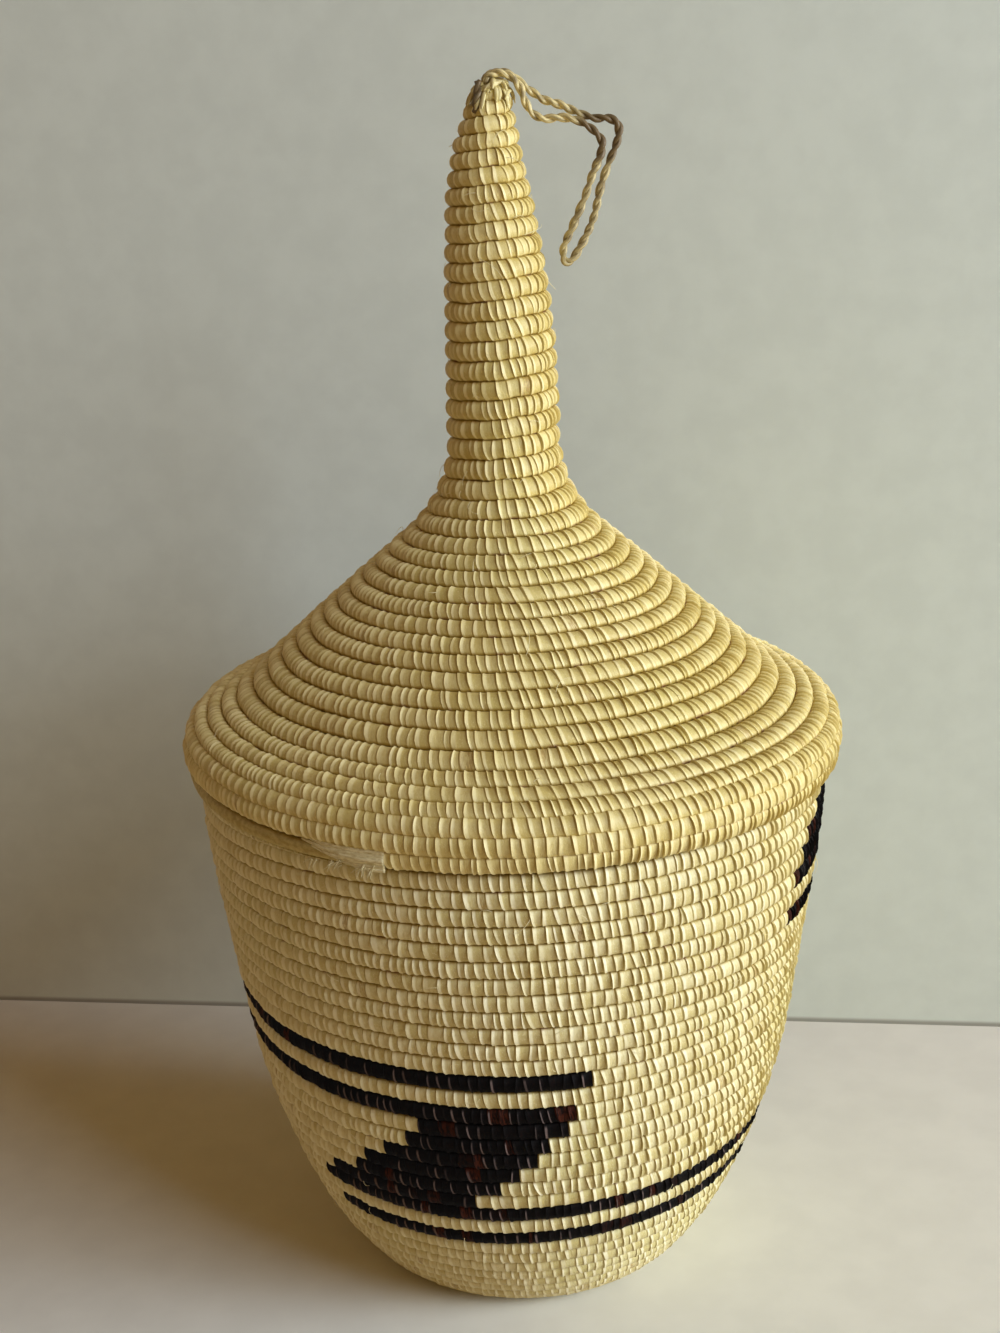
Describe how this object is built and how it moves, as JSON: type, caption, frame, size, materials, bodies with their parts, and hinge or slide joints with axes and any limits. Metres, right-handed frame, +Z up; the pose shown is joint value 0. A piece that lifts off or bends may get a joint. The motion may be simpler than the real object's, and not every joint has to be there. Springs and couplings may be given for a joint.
{
  "type": "lidded coiled basket",
  "caption": "Coiled grass basket with dyed stepped bands and an overhanging lid that rises to a tall spire with a twine hanging loop.",
  "frame": {"origin": "on the surface that the basket stands on, under the middle of its base", "axes": "+Z up through the spire, front with the large stepped block towards -Y, +X to the right seen from the front"},
  "size_m": [0.1599, 0.1599, 0.2908],
  "materials": {
    "natural_fibre": "flat pale fibre strands sewn over a grass coil, slightly shiny",
    "dyed_fibre": "the same strands dyed near-black, slightly shiny",
    "twine": "two-ply plant fibre twine, matt"
  },
  "bodies": {
    "basket": {"basket_coil": "natural_fibre", "dyed_runs_upper": "dyed_fibre", "dyed_runs_middle": "dyed_fibre", "dyed_runs_lower": "dyed_fibre", "dyed_run_lowest": "dyed_fibre"},
    "lid": {"lid_coil": "natural_fibre", "lid_collar": "natural_fibre", "hanging_loop": "twine"}
  },
  "joints": [
    {"name": "lid_lift", "type": "slide", "parent": "basket", "child": "lid", "axis": [0, 0, 1], "range_m": [0, 0.18]}
  ]
}
